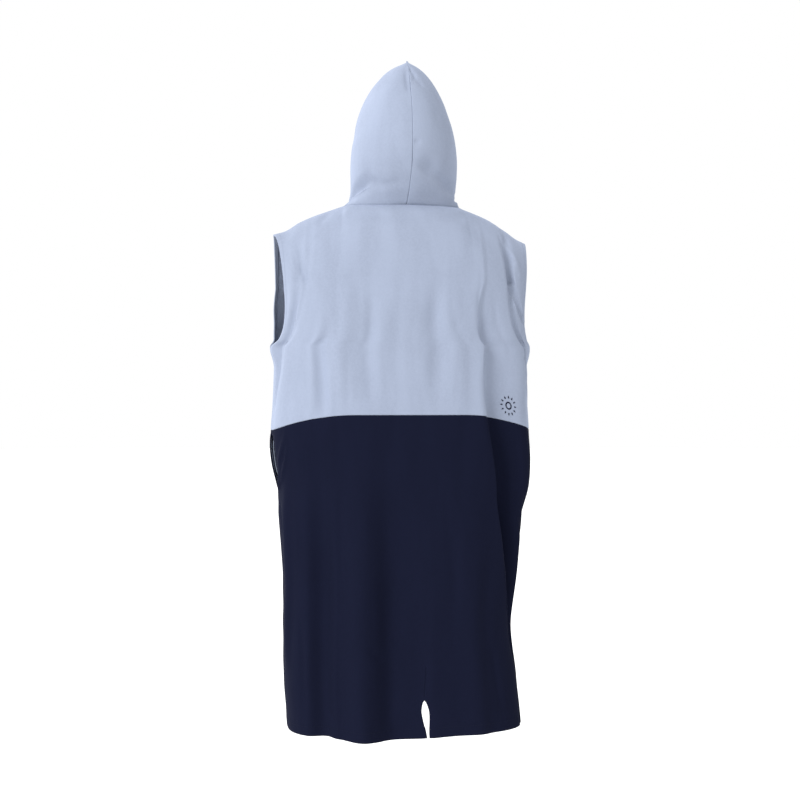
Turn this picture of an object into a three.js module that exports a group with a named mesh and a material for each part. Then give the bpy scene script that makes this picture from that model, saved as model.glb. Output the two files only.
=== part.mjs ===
// A sleeveless hooded towelling poncho, filled out as it hangs on a wearer. Lengths are in millimetres.
// +Z is up, +Y is the garment's front and +X is the wearer's right. The origin is the middle of the
// neck opening, level with the shoulders that carry the garment.
import * as THREE from "three";

// Driving dimensions.
const CLOTH = 2.4; // thickness of the towelling
const POCKET_CLOTH = 1.2; // thickness of the pocket bags
const SEAM_GAP = 0.3; // space between two pieces that are sewn together
const COLOUR_SEAM = 424; // where pale cloth meets dark cloth, down the centre back from the neck
const HEM = 1062; // length down the centre back
const UNDERARM = 286; // where the armhole ends and the side seam starts
const SHOULDER_TURN = 150; // depth over which the cloth rounds from the shoulder to upright
const NECK = { half: 119.5, back: 65, front: 85, fallBack: 2, fallFront: 52 };
const NECK_SHARE = 0.42; // share of a panel's top edge, each side of its middle, that is neckline
const UNDERARM_TIP = { out: 8, above: 20, below: 34, reach: 0.14 };
const ARMHOLE_INSET_REACH = 0.3; // share of a half panel over which the inset fades
const HEM_DIP = { across: -0.12, wide: 0.34, deep: 7, from: 900 };
const VENT = { across: 0.04, top: 988, widest: 1008, wide: 15, foot: 5, reach: 0.12 };
const POCKET = { top: 430, bottom: 545, low: 658, inner: 0.5, hollow: 7 };
const POCKET_MOUTH = { flare: 5.5, tuck: 1.2, turn: 0.07, gape: 1.5 };

const PALE = { color: 0xb1bfda, roughness: 0.95, metalness: 0 };
const DARK = { color: 0x191d30, roughness: 0.95, metalness: 0 };

// Rings of the body. level: distance down from the neck. left, right: half widths. back, front: depths.
// square: below 1 is boxier than an ellipse. drop: how much lower the sides hang than the middle. rise:
// how much higher the front hangs than the back.
const BODY = [
  { level: 150, left: 254, right: 250, back: 124, front: 112, square: 0.84, drop: 14, rise: 0 },
  { level: 200, left: 258, right: 247, back: 131, front: 126, square: 0.84, drop: 8, rise: 0 },
  { level: 245, left: 259, right: 250, back: 133, front: 133, square: 0.83, drop: 5, rise: 0 },
  { level: 272, left: 260, right: 257, back: 134, front: 136, square: 0.82, drop: 3, rise: 1 },
  { level: 286, left: 261, right: 260, back: 134, front: 137, square: 0.81, drop: 2, rise: 1 },
  { level: 320, left: 261, right: 261, back: 133, front: 139, square: 0.8, drop: 10, rise: 3 },
  { level: 380, left: 264, right: 260, back: 132, front: 141, square: 0.79, drop: 23, rise: 6 },
  { level: 424, left: 267, right: 262, back: 131, front: 142, square: 0.78, drop: 31, rise: 8 },
  { level: 490, left: 261, right: 266, back: 130, front: 143, square: 0.77, drop: 30, rise: 10 },
  { level: 545, left: 253, right: 263, back: 129, front: 144, square: 0.77, drop: 28, rise: 12 },
  { level: 600, left: 252, right: 249, back: 128, front: 145, square: 0.76, drop: 26, rise: 13 },
  { level: 720, left: 243.5, right: 238, back: 126, front: 147, square: 0.75, drop: 21, rise: 16 },
  { level: 840, left: 242, right: 225, back: 124, front: 149, square: 0.74, drop: 16, rise: 19 },
  { level: 950, left: 241, right: 236, back: 122, front: 151, square: 0.74, drop: 7, rise: 22 },
  { level: 1062, left: 233.5, right: 246.5, back: 118, front: 153, square: 0.74, drop: -3, rise: 25 },
];

// How far the armhole's two edges stand from the side line. inset: how far in the left back edge lies.
const ARMHOLE = [
  { level: 150, back: 52, front: 57, inset: 8 },
  { level: 200, back: 53, front: 60, inset: 14 },
  { level: 245, back: 43, front: 49, inset: 12 },
  { level: 272, back: 27, front: 31, inset: 5 },
  { level: UNDERARM, back: 0, front: 0, inset: 0 },
];

// Shoulder seams from the neck to the tip. along: share of the seam. x: distance out. z: height.
const LEFT_SHOULDER = [
  { along: 0, x: 119.5, z: 0 },
  { along: 0.25, x: 157, z: -13 },
  { along: 0.6, x: 209, z: -33 },
  { along: 0.8, x: 237, z: -50 },
  { along: 1, x: 264, z: -58 },
];
const RIGHT_SHOULDER = [
  { along: 0, x: 119.5, z: 0 },
  { along: 0.35, x: 172, z: -20 },
  { along: 0.6, x: 207, z: -40 },
  { along: 0.8, x: 234, z: -59 },
  { along: 1, x: 259, z: -70 },
];

// Soft folds. fromAcross, toAcross: where the fold runs, as a share of the half panel, at its two levels.
// deep: how far it sinks, or stands out where negative. left, right: its half widths, as shares too.
const BACK_FOLDS = [
  { fromAcross: -0.7, fromLevel: 100, toAcross: -0.96, toLevel: 410, deep: 10, left: 0.13, right: 0.06 },
  { fromAcross: -0.83, fromLevel: 66, toAcross: -0.64, toLevel: 170, deep: 4, left: 0.05, right: 0.06 },
  { fromAcross: -0.38, fromLevel: 110, toAcross: -0.26, toLevel: 430, deep: -5, left: 0.07, right: 0.1 },
  { fromAcross: -0.46, fromLevel: 215, toAcross: -0.38, toLevel: 450, deep: 6, left: 0.08, right: 0.06 },
  { fromAcross: -0.19, fromLevel: 170, toAcross: -0.13, toLevel: 420, deep: 3, left: 0.06, right: 0.05 },
  { fromAcross: 0.12, fromLevel: 120, toAcross: 0.07, toLevel: 440, deep: 5, left: 0.08, right: 0.08 },
  { fromAcross: 0.66, fromLevel: 50, toAcross: 0.84, toLevel: 400, deep: 8, left: 0.05, right: 0.08 },
  { fromAcross: 0.68, fromLevel: 130, toAcross: 0.98, toLevel: 245, deep: 6, left: 0.05, right: 0.07 },
  { fromAcross: -0.18, fromLevel: 420, toAcross: -0.19, toLevel: 1300, deep: -18, left: 0.15, right: 0.11 },
  { fromAcross: -0.05, fromLevel: 520, toAcross: -0.04, toLevel: 1300, deep: 15, left: 0.08, right: 0.12 },
  { fromAcross: -0.43, fromLevel: 430, toAcross: -0.47, toLevel: 1300, deep: 17, left: 0.15, right: 0.12 },
  { fromAcross: 0.27, fromLevel: 560, toAcross: 0.33, toLevel: 1300, deep: -8, left: 0.15, right: 0.13 },
  { fromAcross: -0.78, fromLevel: 480, toAcross: -0.9, toLevel: 960, deep: -6, left: 0.09, right: 0.11 },
  { fromAcross: -0.68, fromLevel: 425, toAcross: -0.98, toLevel: 560, deep: -4, left: 0.06, right: 0.06 },
];
const FRONT_FOLDS = [
  { fromAcross: -0.62, fromLevel: 160, toAcross: -0.8, toLevel: 430, deep: 10, left: 0.12, right: 0.09 },
  { fromAcross: 0.6, fromLevel: 150, toAcross: 0.78, toLevel: 450, deep: 12, left: 0.09, right: 0.13 },
  { fromAcross: -0.3, fromLevel: 240, toAcross: -0.36, toLevel: 1300, deep: 20, left: 0.13, right: 0.15 },
  { fromAcross: 0.04, fromLevel: 330, toAcross: 0.06, toLevel: 1300, deep: 13, left: 0.14, right: 0.11 },
  { fromAcross: 0.34, fromLevel: 220, toAcross: 0.42, toLevel: 1300, deep: 23, left: 0.14, right: 0.16 },
  { fromAcross: -0.14, fromLevel: 480, toAcross: -0.13, toLevel: 1300, deep: -12, left: 0.12, right: 0.12 },
  { fromAcross: 0.7, fromLevel: 520, toAcross: 0.72, toLevel: 1300, deep: 16, left: 0.14, right: 0.12 },
  { fromAcross: -0.68, fromLevel: 560, toAcross: -0.7, toLevel: 1300, deep: 14, left: 0.13, right: 0.13 },
];

// The deep fold at the back's right. across: where its edge hangs. deep: how far the cloth steps in behind.
const SIDE_FOLD_AT_REST = 0.5; // where the columns that follow the fold start at the neck
const SIDE_FOLD_WALL = 0.045;
const SIDE_FOLD_WIDE = 0.3;
const SIDE_FOLD = [
  { level: 0, across: 0.5, deep: 0 },
  { level: 110, across: 0.46, deep: 0 },
  { level: 200, across: 0.4, deep: 8 },
  { level: 300, across: 0.325, deep: 17 },
  { level: 424, across: 0.34, deep: 27 },
  { level: 545, across: 0.4, deep: 36 },
  { level: 700, across: 0.555, deep: 42 },
  { level: 840, across: 0.765, deep: 34 },
  { level: 960, across: 0.82, deep: 24 },
  { level: 1062, across: 0.805, deep: 14 },
];

// Rings of the hood from the neck seam up to the crown seam. back, side, front: heights. half: half width.
// middle: how far forward the ring's middle is. rear, fore: depths behind and before it. reach: degrees
// from the centre back round to the face edge.
const HOOD = [
  { row: 0, back: -2, side: 0, front: -52, half: 119.5, middle: 0, rear: 65, fore: 85, reach: 180 },
  { row: 1, back: 14, side: 14, front: -20, half: 113, middle: 1, rear: 73, fore: 100, reach: 158 },
  { row: 2, back: 36, side: 34, front: 22, half: 108, middle: 1, rear: 86, fore: 113, reach: 148 },
  { row: 3, back: 66, side: 62, front: 68, half: 109, middle: 0, rear: 101, fore: 122, reach: 144 },
  { row: 4, back: 100, side: 95, front: 112, half: 108, middle: -2, rear: 109, fore: 127, reach: 142 },
  { row: 5, back: 140, side: 136, front: 154, half: 102.5, middle: -3, rear: 111, fore: 127, reach: 142 },
  { row: 6, back: 182, side: 178, front: 192, half: 93, middle: -3, rear: 106, fore: 122, reach: 142 },
  { row: 7, back: 222, side: 219, front: 224, half: 78, middle: -2, rear: 93, fore: 113, reach: 143 },
  { row: 8, back: 255, side: 254, front: 247, half: 58, middle: 0, rear: 74, fore: 103, reach: 147 },
  { row: 9, back: 281, side: 280, front: 262, half: 32.5, middle: 2, rear: 50, fore: 93, reach: 158 },
  { row: 10, back: 297, side: 293, front: 270, half: 0, middle: 4, rear: 24, fore: 84, reach: 180 },
];
const HOOD_TOP = 10;

// How far the hood leans to the right.
const HOOD_LEAN = [
  { row: 0, right: 0 },
  { row: 1, right: 2 },
  { row: 3, right: 4.5 },
  { row: 6, right: 4.5 },
  { row: 8, right: 5 },
  { row: 10, right: 8.5 },
];

// Creases of the hood. side: -1 left, 1 right. fromTurn, toTurn: degrees round from the centre back at
// rows fromRow and toRow. deep: how far it sinks. above, below: how many rows it spreads over.
const HOOD_CREASES = [
  { side: -1, fromTurn: 92, fromRow: 1, toTurn: 40, toRow: 2.5, deep: 8, above: 1.1, below: 0.35 },
  { side: 1, fromTurn: 20, fromRow: 3.1, toTurn: 70, toRow: 1.9, deep: -4, above: 1.3, below: 1.2 },
  { side: 1, fromTurn: 70, fromRow: 1.2, toTurn: 120, toRow: 1.7, deep: 6, above: 0.8, below: 0.5 },
  { side: -1, fromTurn: 100, fromRow: 4.2, toTurn: 150, toRow: 2.6, deep: 5, above: 1.4, below: 1 },
  { side: 1, fromTurn: 100, fromRow: 5, toTurn: 150, toRow: 3.2, deep: 6, above: 1.4, below: 1 },
];

// Levels where the cloth's rows lie, and the shares of a half panel where its columns lie.
const UPPER_LEVELS = [0, 9, 26, 50, 80, 114, 150, 178, 204, 229, 252, 272, 286, 318, 352, 388, COLOUR_SEAM];
const LOWER_LEVELS = [
  COLOUR_SEAM, POCKET.top, 447, 470, 496, 522, POCKET.bottom, 580, 618, POCKET.low,
  700, 742, 784, 826, 868, 910, 950, VENT.top, 995, VENT.widest, 1034, HEM,
];
const NECK_STEPS = 6;
const LEFT_COLUMNS = [-1, -0.98, -0.93, -0.86, -0.79, -0.72, -0.65, -0.58, -0.5];
const RIGHT_COLUMNS = [0.46, 0.5, 0.52, 0.545, 0.58, 0.65, 0.72, 0.79, 0.86, 0.93, 0.98, 1];
const NECK_COLUMNS = stepsBetween(-NECK_SHARE, NECK_SHARE, 2 * NECK_STEPS);
const COLUMNS = [...LEFT_COLUMNS, ...NECK_COLUMNS, ...RIGHT_COLUMNS];
const VENTED_COLUMNS = [...COLUMNS, VENT.across].sort((a, b) => a - b);

function stepsBetween(first, last, count) {
  return Array.from({ length: count + 1 }, (_, i) => first + ((last - first) * i) / count);
}

function mix(a, b, share) {
  return a + (b - a) * share;
}

function smooth(share) {
  const t = THREE.MathUtils.clamp(share, 0, 1);
  return t * t * (3 - 2 * t);
}

const sine = (degrees) => Math.sin(THREE.MathUtils.degToRad(degrees));
const cosine = (degrees) => Math.cos(THREE.MathUtils.degToRad(degrees));

// A smooth curve through one column of a table, read at any value of another column.
function through(table, at, column) {
  const slopeAt = (i) => {
    const before = table[Math.max(i - 1, 0)];
    const after = table[Math.min(i + 1, table.length - 1)];
    return (after[column] - before[column]) / (after[at] - before[at]);
  };
  return (value) => {
    let i = 0;
    while (i < table.length - 2 && value > table[i + 1][at]) i += 1;
    const span = table[i + 1][at] - table[i][at];
    const t = THREE.MathUtils.clamp((value - table[i][at]) / span, 0, 1);
    const straight = mix(table[i][column], table[i + 1][column], t);
    const rise = table[i + 1][column] - table[i][column];
    const bendIn = slopeAt(i) * span - rise;
    const bendOut = rise - slopeAt(i + 1) * span;
    return straight + t * (1 - t) * (bendIn * (1 - t) + bendOut * t);
  };
}

function curvesOf(table, at) {
  const columns = Object.keys(table[0]).filter((name) => name !== at);
  return Object.fromEntries(columns.map((name) => [name, through(table, at, name)]));
}

const body = curvesOf(BODY, "level");
const armhole = curvesOf(ARMHOLE, "level");
const hood = curvesOf(HOOD, "row");
const hoodLean = curvesOf(HOOD_LEAN, "row");
const sideFold = curvesOf(SIDE_FOLD, "level");
const leftShoulder = curvesOf(LEFT_SHOULDER, "along");
const rightShoulder = curvesOf(RIGHT_SHOULDER, "along");

// How far a fold's cosine section reaches at a distance from its line: 1 on the line, 0 past its width.
function section(distance, left, right) {
  const t = Math.min(Math.abs(distance) / (distance < 0 ? left : right), 1);
  return (1 + Math.cos(Math.PI * t)) / 2;
}

function foldsAt(folds, across, level) {
  let deep = 0;
  for (const fold of folds) {
    const along = (level - fold.fromLevel) / (fold.toLevel - fold.fromLevel);
    if (along <= 0 || along >= 1) continue;
    const line = mix(fold.fromAcross, fold.toAcross, along);
    const strength = smooth(along / 0.4) * smooth((1 - along) / 0.25);
    deep += fold.deep * strength * section(across - line, fold.left, fold.right);
  }
  return deep;
}

// Columns near the deep fold shift with its edge, so that one of them always runs along it.
function followSideFold(across, level) {
  const shift = sideFold.across(level) - SIDE_FOLD_AT_REST;
  const away = across - SIDE_FOLD_AT_REST;
  const reach = away < 0 ? 0.4 : 0.49;
  return across + shift * Math.max(0, 1 - Math.abs(away) / reach);
}

function sideFoldAt(across, level) {
  const away = across - SIDE_FOLD_AT_REST;
  const wall = smooth(away / SIDE_FOLD_WALL);
  const ease = 1 - smooth((away - SIDE_FOLD_WALL) / SIDE_FOLD_WIDE);
  return sideFold.deep(level) * wall * ease;
}

// A point of the body's top edge: the neckline, then the shoulder seam. face is -1 on the back, 1 in front.
function topPoint(face, across) {
  const share = Math.abs(across);
  const side = Math.sign(across);
  if (share <= NECK_SHARE) {
    const turn = (90 * share) / NECK_SHARE;
    const depth = face < 0 ? NECK.back : NECK.front;
    const fall = face < 0 ? NECK.fallBack : NECK.fallFront;
    const back = cosine(turn);
    return new THREE.Vector3(side * NECK.half * sine(turn), face * depth * back, -fall * back);
  }
  const along = (share - NECK_SHARE) / (1 - NECK_SHARE);
  const shoulder = side < 0 ? leftShoulder : rightShoulder;
  return new THREE.Vector3(side * shoulder.x(along), 0, shoulder.z(along));
}

// A point of one of the body's rings, with its folds. Each half panel wraps from the middle round to the
// armhole's edge, or to the side line below the underarm.
function ringPoint(face, across, level) {
  const placed = face < 0 ? followSideFold(across, level) : across;
  const share = Math.min(Math.abs(placed), 1);
  const side = Math.sign(placed);
  const half = side < 0 ? body.left(level) : body.right(level);
  const depth = face < 0 ? body.back(level) : body.front(level);
  const edge = Math.max(face < 0 ? armhole.back(level) : armhole.front(level), 0);
  const power = body.square(level);
  const wrap = Math.acos((edge / depth) ** (1 / power));
  const tip = UNDERARM_TIP.out * section(level - UNDERARM, UNDERARM_TIP.above, UNDERARM_TIP.below);
  const inset = face < 0 && side < 0 ? armhole.inset(level) : 0;
  const out = tip * smooth(1 - (1 - share) / UNDERARM_TIP.reach)
    - inset * smooth(1 - (1 - share) / ARMHOLE_INSET_REACH);
  const x = side * half * (Math.sin(wrap * share) / Math.sin(wrap)) ** power;
  const y = face * depth * Math.max(Math.cos(wrap * share), 0) ** power;
  const sideways = smooth((share - 0.2) / 0.8);
  const lift = face < 0 ? 0 : body.rise(level) * (1 - sideways);
  const dip = HEM_DIP.deep * smooth((level - HEM_DIP.from) / (HEM - HEM_DIP.from));
  const droop = dip * section(across - HEM_DIP.across, HEM_DIP.wide, HEM_DIP.wide);
  const folds = face < 0 ? foldsAt(BACK_FOLDS, placed, level) + sideFoldAt(across, level)
    : foldsAt(FRONT_FOLDS, placed, level);
  const inward = new THREE.Vector2(x / half ** 2, y / depth ** 2).normalize();
  const hold = level < UNDERARM ? 1 : smooth((1 - share) / 0.08);
  return new THREE.Vector3(
    x - inward.x * folds * hold + side * out,
    y - inward.y * folds * hold,
    -level - body.drop(level) * sideways + lift - droop,
  );
}

// A point of the body: over the shoulder in a quarter turn, then straight down from ring to ring.
function bodyPoint(face, across, level) {
  if (level >= SHOULDER_TURN) return ringPoint(face, across, level);
  const top = topPoint(face, across);
  const foot = ringPoint(face, across, SHOULDER_TURN);
  const turn = (90 * level) / SHOULDER_TURN;
  const point = new THREE.Vector3(
    mix(top.x, foot.x, level / SHOULDER_TURN),
    mix(top.y, foot.y, sine(turn)),
    mix(top.z, foot.z, 1 - cosine(turn)),
  );
  const folds = face < 0 ? foldsAt(BACK_FOLDS, followSideFold(across, level), level)
    : foldsAt(FRONT_FOLDS, across, level);
  point.y -= face * folds * sine(turn);
  return point;
}

// The vent's half width at a level: round at its head, widest a little below, narrow at the hem.
function ventHalf(level) {
  if (level <= VENT.top) return 0;
  const head = Math.sqrt(Math.min((level - VENT.top) / (VENT.widest - VENT.top), 1));
  const narrowing = smooth((level - VENT.widest) / (HEM - VENT.widest));
  return (mix(VENT.wide, VENT.foot, narrowing) * head) / 2;
}

// The back with its vent: cloth on either side of the slit draws away from it. half is -1 or 1.
function ventedBack(half, across, level) {
  const point = bodyPoint(-1, across, level);
  const away = Math.abs(across - VENT.across) / VENT.reach;
  point.x += half * ventHalf(level) * Math.max(0, 1 - away);
  return point;
}

// How open a pocket's mouth is at a level, from 0 to 1.
function mouthAt(level) {
  const share = (level - POCKET.top) / (POCKET.bottom - POCKET.top);
  return share <= 0 || share >= 1 ? 0 : Math.sin(Math.PI * share) ** 0.6 * (1.15 - 0.5 * share);
}

// The side edges at a pocket's mouth: the front's edge flares and the back's edge tucks in.
function atPocket(face, across, level, point) {
  const edgeShare = smooth((Math.abs(across) - 1 + POCKET_MOUTH.turn) / POCKET_MOUTH.turn);
  const move = face < 0 ? -POCKET_MOUTH.tuck : POCKET_MOUTH.flare * (across < 0 ? 1 : 0.45);
  point.x += Math.sign(across) * move * edgeShare * mouthAt(level);
  return point;
}

const backPoint = (half) => (across, level) => atPocket(-1, across, level, ventedBack(half, across, level));
const frontPoint = (across, level) => atPocket(1, across, level, bodyPoint(1, across, level));

// A crease's depth at a turn and row of the hood.
function hoodCreasesAt(side, turn, row) {
  let deep = 0;
  for (const crease of HOOD_CREASES) {
    const along = (turn - crease.fromTurn) / (crease.toTurn - crease.fromTurn);
    if (crease.side !== side || along <= 0 || along >= 1) continue;
    const line = mix(crease.fromRow, crease.toRow, along);
    const strength = smooth(along / 0.3) * smooth((1 - along) / 0.4);
    deep += crease.deep * strength * section(row - line, crease.below, crease.above);
  }
  return deep * smooth(row / 0.8);
}

// A point of the hood. share runs from 0 at the centre back to 1 at the face edge.
function hoodPoint(side, share, row) {
  const turn = hood.reach(row) * share;
  const even = 180 * share;
  const depth = turn < 90 ? hood.rear(row) : hood.fore(row);
  const height = mix(hood.side(row), even < 90 ? hood.back(row) : hood.front(row), Math.abs(cosine(even)));
  const deep = hoodCreasesAt(side, turn, row);
  const out = Math.max(hood.half(row) - deep, 0) * sine(turn);
  const back = (depth - deep) * cosine(turn);
  return new THREE.Vector3(hoodLean.right(row) + side * out, hood.middle(row) - back, height);
}

// The quads between neighbouring columns and rows, each with its corners in order round the outer side.
function gridCells(columns, rows, pointAt, flip) {
  const cells = [];
  for (let r = 0; r + 1 < rows.length; r += 1) {
    for (let c = 0; c + 1 < columns.length; c += 1) {
      const corners = [[c, r], [c, r + 1], [c + 1, r + 1], [c + 1, r]];
      const quad = corners.map(([column, row]) => pointAt(columns[column], rows[row]));
      cells.push(flip ? quad.reverse() : quad);
    }
  }
  return cells;
}

const keyOf = (point) => point.toArray().map((value) => Math.round(value * 50)).join(" ");

function faceNormal(quad) {
  const across = quad[2].clone().sub(quad[0]);
  return across.cross(quad[3].clone().sub(quad[1]));
}

// Normals at each corner, averaged over every quad of every list that meets there.
function sharedNormals(cellLists) {
  const normals = new Map();
  for (const quad of cellLists.flat()) {
    const normal = faceNormal(quad);
    for (const key of new Set(quad.map(keyOf))) {
      if (!normals.has(key)) normals.set(key, new THREE.Vector3());
      normals.get(key).add(normal);
    }
  }
  for (const normal of normals.values()) normal.normalize();
  return normals;
}

// A closed wall on a list of quads, thick inwards, whose free edges are trimmed back by half a seam gap.
function wallGeometry(cells, normals, thick) {
  const corners = new Map();
  const edges = new Map();
  const loops = cells.map((quad) => {
    const loop = quad.map(keyOf).filter((key, i, all) => key !== all[(i + 1) % all.length]);
    quad.forEach((point) => corners.set(keyOf(point), point.clone()));
    loop.forEach((from, i) => {
      const to = loop[(i + 1) % loop.length];
      edges.set(from + ">" + to, [from, to]);
    });
    return loop;
  });
  const rim = [...edges.values()].filter(([from, to]) => !edges.has(to + ">" + from));
  const trim = new Map();
  for (const [from, to] of rim) {
    const along = corners.get(to).clone().sub(corners.get(from));
    for (const key of [from, to]) {
      if (!trim.has(key)) trim.set(key, new THREE.Vector3());
      trim.get(key).add(normals.get(key).clone().cross(along).normalize());
    }
  }
  const index = new Map([...corners.keys()].map((key, i) => [key, i]));
  const outer = [...corners].map(([key, point]) => {
    const back = trim.get(key);
    return back ? point.clone().addScaledVector(back.normalize(), SEAM_GAP / 2) : point;
  });
  const inward = [...corners.keys()].map((key) => normals.get(key).clone().multiplyScalar(-thick));
  const inner = outer.map((point, i) => point.clone().add(inward[i]));
  const faces = [];
  const addFan = (ring) => {
    for (let i = 1; i + 1 < ring.length; i += 1) faces.push(ring[0], ring[i], ring[i + 1]);
  };
  for (const loop of loops) {
    const ring = loop.map((key) => index.get(key));
    addFan(ring);
    addFan([ring[0], ...ring.slice(1).reverse()].map((i) => i + outer.length));
  }
  for (const [from, to] of rim) {
    const [a, b] = [index.get(from), index.get(to)];
    const ring = [a, a + outer.length, b + outer.length, b];
    addFan(from < to ? ring : [b, ...ring.slice(0, 3)]);
  }
  const geometry = new THREE.BufferGeometry();
  const flat = [...outer, ...inner].flatMap((point) => point.toArray());
  geometry.setAttribute("position", new THREE.Float32BufferAttribute(flat, 3));
  geometry.setIndex(faces);
  geometry.computeVertexNormals();
  return geometry;
}

function hoodCells(side) {
  const shares = stepsBetween(0, 1, 2 * NECK_STEPS);
  const rows = stepsBetween(0, HOOD_TOP, 14);
  return gridCells(shares, rows, (share, row) => hoodPoint(side, share, row), side > 0);
}

function backLowerCells() {
  const slit = VENTED_COLUMNS.indexOf(VENT.across);
  return [
    ...gridCells(VENTED_COLUMNS.slice(0, slit + 1), LOWER_LEVELS, backPoint(-1), false),
    ...gridCells(VENTED_COLUMNS.slice(slit), LOWER_LEVELS, backPoint(1), false),
  ];
}

// A pocket bag: cloth folded double at its inner end, lying along the inside of the front from the side
// seam. Its layers stand apart at the mouth and in the middle, and lie together where they are sewn.
function pocketCells(side) {
  const columns = COLUMNS.map((across) => across * side).sort((a, b) => a - b);
  const shares = columns.filter((share) => share >= POCKET.inner && share < 1);
  const levels = LOWER_LEVELS.filter((level) => level >= POCKET.top && level <= POCKET.low);
  const place = ([share, layer], level) => {
    const point = frontPoint(side * share, level);
    const outward = garmentNormals.get(keyOf(point));
    const middle = sine((180 * (share - POCKET.inner)) / (1 - POCKET.inner));
    const height = sine((180 * (level - POCKET.top)) / (POCKET.low - POCKET.top));
    const open = Math.max(middle * height, 0) * POCKET.hollow + mouthAt(level) * POCKET_MOUTH.gape;
    const depth = CLOTH + SEAM_GAP + layer * (2 * POCKET_CLOTH + SEAM_GAP + open);
    return point.addScaledVector(outward, -depth);
  };
  const folded = [...shares.map((share) => [share, 1]).reverse(), ...shares.map((share) => [share, 0])];
  return gridCells(folded, levels, place, side > 0);
}

const garment = {
  back_upper: gridCells(COLUMNS, UPPER_LEVELS, backPoint(1), false),
  back_lower: backLowerCells(),
  front_upper: gridCells(COLUMNS, UPPER_LEVELS, frontPoint, true),
  front_lower: gridCells(COLUMNS, LOWER_LEVELS, frontPoint, true),
  hood_left: hoodCells(-1),
  hood_right: hoodCells(1),
};
const garmentNormals = sharedNormals(Object.values(garment));
const pockets = {
  pocket_bag_left: pocketCells(-1),
  pocket_bag_right: pocketCells(1),
};

const poncho = new THREE.Group();

function addPiece(name, cells, normals, thick, finish) {
  const piece = new THREE.Mesh(wallGeometry(cells, normals, thick), new THREE.MeshStandardMaterial(finish));
  piece.name = name;
  poncho.add(piece);
}

for (const [name, cells] of Object.entries(garment)) {
  addPiece(name, cells, garmentNormals, CLOTH, name.endsWith("lower") ? DARK : PALE);
}
for (const [name, cells] of Object.entries(pockets)) {
  addPiece(name, cells, sharedNormals([cells]), POCKET_CLOTH, PALE);
}

export default poncho;
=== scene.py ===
"""A hooded towelling poncho: its cloth, seams, stitches and light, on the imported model's frame."""

import math
from functools import partial
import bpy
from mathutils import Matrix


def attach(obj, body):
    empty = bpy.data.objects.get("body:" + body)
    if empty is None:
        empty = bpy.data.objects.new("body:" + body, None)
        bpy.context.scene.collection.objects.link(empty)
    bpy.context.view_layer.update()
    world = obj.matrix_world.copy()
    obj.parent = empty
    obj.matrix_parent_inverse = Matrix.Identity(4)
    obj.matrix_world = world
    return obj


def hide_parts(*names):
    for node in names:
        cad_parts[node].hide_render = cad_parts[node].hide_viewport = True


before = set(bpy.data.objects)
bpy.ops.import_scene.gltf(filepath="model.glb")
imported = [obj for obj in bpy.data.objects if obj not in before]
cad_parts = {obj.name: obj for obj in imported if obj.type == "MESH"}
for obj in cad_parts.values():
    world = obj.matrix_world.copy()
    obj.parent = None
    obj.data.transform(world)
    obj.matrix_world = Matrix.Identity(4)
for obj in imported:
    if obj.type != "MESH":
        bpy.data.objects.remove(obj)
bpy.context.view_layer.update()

from types import SimpleNamespace

import bmesh
import bpy
import numpy as np
from mathutils import Matrix, Vector

bl_info = {
    "name": "Hooded towelling poncho",
    "version": (1, 0, 0),
    "blender": (4, 5, 0),
    "location": "3D View > Sidebar > Poncho",
    "description": "Makes the cloth, stitching and studio of a hooded towelling poncho",
    "category": "Object",
}

# The cloth's tables and sizes are in millimetres, as a maker cuts it. Meshes are in metres.
MM = 0.001
COLOUR_SEAM = 424
HEM = 1062
UNDERARM = 286
SHOULDER_TURN = 150
HALF_PANEL = 338
ARMHOLE_INSET_REACH = 0.3
NECK = SimpleNamespace(half=119.5, back=65, front=85, fall_back=2, fall_front=52, share=0.42)
UNDERARM_TIP = SimpleNamespace(out=8, above=20, below=34, reach=0.14)
HEM_DIP = SimpleNamespace(across=-0.12, wide=0.34, deep=7, start=900)
VENT = SimpleNamespace(across=0.04, top=988, widest=1008, wide=15, foot=5, reach=0.12, slant=8)
POCKET = SimpleNamespace(top=430, bottom=545, low=658, inner=0.5, hollow=7)
POCKET_MOUTH = SimpleNamespace(flare=5.5, tuck=1.2, tuck_left=5.5, turn=0.07, turn_left=0.13, gape=1.5)
HOOD_ROUND = 300
HOOD_ROW = 33
HOOD_TOP = 10


def rows_of(names, *rows):
    """A table: the names of its columns, then its rows of values."""
    return [dict(zip(names.split(), row)) for row in rows]


BODY = rows_of(
    "level left right back front square drop rise",
    (150, 254, 250, 124, 112, 0.84, 14, 0),
    (200, 258, 247, 131, 126, 0.84, 8, 0),
    (245, 259, 250, 133, 133, 0.83, 5, 0),
    (272, 260, 257, 134, 136, 0.82, 3, 1),
    (286, 261, 260, 134, 137, 0.81, 2, 1),
    (320, 261, 261, 133, 139, 0.80, 10, 3),
    (380, 264, 260, 132, 141, 0.79, 23, 6),
    (424, 267, 262, 131, 142, 0.78, 31, 8),
    (490, 261, 266, 130, 143, 0.77, 30, 10),
    (545, 253, 263, 129, 144, 0.77, 28, 12),
    (600, 252, 249, 128, 145, 0.76, 26, 13),
    (720, 243.5, 238, 126, 147, 0.75, 21, 16),
    (840, 242, 225, 124, 149, 0.74, 16, 19),
    (950, 241, 236, 122, 151, 0.74, 7, 22),
    (1062, 233.5, 246.5, 118, 153, 0.74, -3, 25),
)
ARMHOLE = rows_of(
    "level back front inset",
    (150, 52, 57, 8),
    (200, 53, 60, 14),
    (245, 43, 49, 12),
    (272, 27, 31, 5),
    (286, 0, 0, 0),
)
LEFT_SHOULDER = rows_of(
    "along x z",
    (0, 119.5, 0),
    (0.25, 157, -13),
    (0.6, 209, -33),
    (0.8, 237, -50),
    (1, 264, -58),
)
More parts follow.
